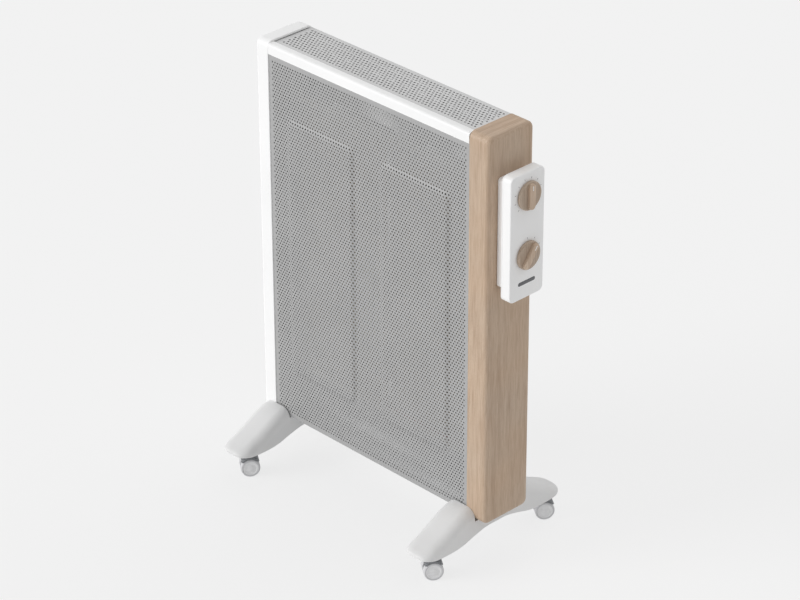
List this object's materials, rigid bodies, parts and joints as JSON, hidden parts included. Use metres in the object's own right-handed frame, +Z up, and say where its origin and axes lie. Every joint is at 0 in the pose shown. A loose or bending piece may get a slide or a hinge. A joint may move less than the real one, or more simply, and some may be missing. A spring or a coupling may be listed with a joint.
{
  "type": "mica panel heater",
  "caption": "Slim free-standing mica panel heater with perforated grilles, moulded end caps, side control box with knobs, and cross feet on swivelling twin-wheel castors.",
  "frame": {"origin": "on the floor, at the centre of the bounding box in plan: midway between the left end cap and the knobs, and midway through the depth of the feet", "axes": "+X along the width towards the control box, +Y from the front grille to the back, +Z up"},
  "size_m": [0.4796, 0.264, 0.6475],
  "materials": {
    "grey_steel": "perforated sheet steel with satin grey powder coat",
    "light_grey_steel": "perforated sheet steel with light grey powder coat",
    "white_plastic": "satin white moulding",
    "wood_look": "moulding with a pale wood-grain foil",
    "knob_wood": "moulded knob with a darker wood-grain foil",
    "foot_plastic": "satin light grey moulding",
    "wheel_plastic": "mid-grey nylon",
    "castor_plastic": "mid-grey moulded castor frame",
    "dark_plastic": "black phenolic",
    "zinc_steel": "zinc-plated sheet and turned steel",
    "mica": "pressed mica sheet",
    "ribbon_alloy": "resistance alloy strip",
    "ceramic": "steatite",
    "smoked_lens": "smoked translucent window",
    "red_wire": "silicone insulation",
    "blue_wire": "silicone insulation",
    "brown_wire": "silicone insulation"
  },
  "bodies": {
    "casing": {"left_end_cap": "white_plastic", "right_end_cap": "wood_look", "front_grille": "grey_steel", "rear_grille": "grey_steel", "top_grille": "light_grey_steel", "front_top_rail": "white_plastic", "bottom_tray": "zinc_steel", "left_frame_plate": "zinc_steel", "right_frame_plate": "zinc_steel", "element_rail_lower": "ceramic", "element_rail_upper": "ceramic", "mica_board_left": "mica", "mica_board_right": "mica", "heating_ribbon_left": "ribbon_alloy", "heating_ribbon_right": "ribbon_alloy", "thermal_cutout": "dark_plastic", "terminal_block": "ceramic", "tip_switch_bracket": "zinc_steel", "control_base": "white_plastic", "control_fascia": "white_plastic", "signal_window": "smoked_lens", "cord_gland": "dark_plastic", "thermostat_body": "dark_plastic", "power_switch_body": "dark_plastic", "element_wire_left": "red_wire", "element_wire_right": "red_wire", "tip_switch_wire": "brown_wire", "thermostat_wire": "brown_wire", "power_switch_wire": "blue_wire", "cutout_wire": "red_wire", "supply_wire": "brown_wire", "foot_left": "foot_plastic", "foot_right": "foot_plastic", "foot_screw_front_left": "zinc_steel", "foot_screw_rear_left": "zinc_steel", "foot_screw_front_right": "zinc_steel", "foot_screw_rear_right": "zinc_steel"},
    "thermostat_dial": {"thermostat_knob": "knob_wood", "thermostat_shaft": "zinc_steel"},
    "power_dial": {"power_knob": "knob_wood", "power_switch_shaft": "zinc_steel"},
    "tip_pendulum": {"tip_switch_pendulum": "zinc_steel"},
    "castor_front_left": {"castor_body_front_left": "castor_plastic", "castor_axle_front_left": "zinc_steel"},
    "wheel_front_left_left": {"castor_wheel_front_left_left": "wheel_plastic"},
    "wheel_front_left_right": {"castor_wheel_front_left_right": "wheel_plastic"},
    "castor_rear_left": {"castor_body_rear_left": "castor_plastic", "castor_axle_rear_left": "zinc_steel"},
    "wheel_rear_left_left": {"castor_wheel_rear_left_left": "wheel_plastic"},
    "wheel_rear_left_right": {"castor_wheel_rear_left_right": "wheel_plastic"},
    "castor_front_right": {"castor_body_front_right": "castor_plastic", "castor_axle_front_right": "zinc_steel"},
    "wheel_front_right_left": {"castor_wheel_front_right_left": "wheel_plastic"},
    "wheel_front_right_right": {"castor_wheel_front_right_right": "wheel_plastic"},
    "castor_rear_right": {"castor_body_rear_right": "castor_plastic", "castor_axle_rear_right": "zinc_steel"},
    "wheel_rear_right_left": {"castor_wheel_rear_right_left": "wheel_plastic"},
    "wheel_rear_right_right": {"castor_wheel_rear_right_right": "wheel_plastic"}
  },
  "joints": [
    {"name": "thermostat_turn", "type": "hinge", "parent": "casing", "child": "thermostat_dial", "pos_m": [0.2303, 0, 0.566], "axis": [1, 0, 0], "range_deg": [-135, 135]},
    {"name": "power_switch_turn", "type": "hinge", "parent": "casing", "child": "power_dial", "pos_m": [0.2303, 0, 0.48], "axis": [1, 0, 0], "range_deg": [-70, 35]},
    {"name": "tip_switch_swing", "type": "hinge", "parent": "casing", "child": "tip_pendulum", "pos_m": [0.1742, 0, 0.125], "axis": [1, 0, 0], "range_deg": [-30, 30]},
    {"name": "castor_swivel_front_left", "type": "hinge", "parent": "casing", "child": "castor_front_left", "pos_m": [-0.2108, -0.108, 0.03963], "axis": [0, 0, 1], "continuous": true},
    {"name": "wheel_spin_front_left_left", "type": "hinge", "parent": "castor_front_left", "child": "wheel_front_left_left", "pos_m": [-0.20661, -0.10178, 0.01383], "axis": [0.829, -0.5592, 0], "continuous": true},
    {"name": "wheel_spin_front_left_right", "type": "hinge", "parent": "castor_front_left", "child": "wheel_front_left_right", "pos_m": [-0.20661, -0.10178, 0.01383], "axis": [0.829, -0.5592, 0], "continuous": true},
    {"name": "castor_swivel_rear_left", "type": "hinge", "parent": "casing", "child": "castor_rear_left", "pos_m": [-0.2108, 0.108, 0.03963], "axis": [0, 0, 1], "continuous": true},
    {"name": "wheel_spin_rear_left_left", "type": "hinge", "parent": "castor_rear_left", "child": "wheel_rear_left_left", "pos_m": [-0.20661, 0.11422, 0.01383], "axis": [0.829, -0.5592, 0], "continuous": true},
    {"name": "wheel_spin_rear_left_right", "type": "hinge", "parent": "castor_rear_left", "child": "wheel_rear_left_right", "pos_m": [-0.20661, 0.11422, 0.01383], "axis": [0.829, -0.5592, 0], "continuous": true},
    {"name": "castor_swivel_front_right", "type": "hinge", "parent": "casing", "child": "castor_front_right", "pos_m": [0.1572, -0.108, 0.03963], "axis": [0, 0, 1], "continuous": true},
    {"name": "wheel_spin_front_right_left", "type": "hinge", "parent": "castor_front_right", "child": "wheel_front_right_left", "pos_m": [0.16139, -0.10178, 0.01383], "axis": [0.829, -0.5592, 0], "continuous": true},
    {"name": "wheel_spin_front_right_right", "type": "hinge", "parent": "castor_front_right", "child": "wheel_front_right_right", "pos_m": [0.16139, -0.10178, 0.01383], "axis": [0.829, -0.5592, 0], "continuous": true},
    {"name": "castor_swivel_rear_right", "type": "hinge", "parent": "casing", "child": "castor_rear_right", "pos_m": [0.1572, 0.108, 0.03963], "axis": [0, 0, 1], "continuous": true},
    {"name": "wheel_spin_rear_right_left", "type": "hinge", "parent": "castor_rear_right", "child": "wheel_rear_right_left", "pos_m": [0.16139, 0.11422, 0.01383], "axis": [0.829, -0.5592, 0], "continuous": true},
    {"name": "wheel_spin_rear_right_right", "type": "hinge", "parent": "castor_rear_right", "child": "wheel_rear_right_right", "pos_m": [0.16139, 0.11422, 0.01383], "axis": [0.829, -0.5592, 0], "continuous": true}
  ]
}
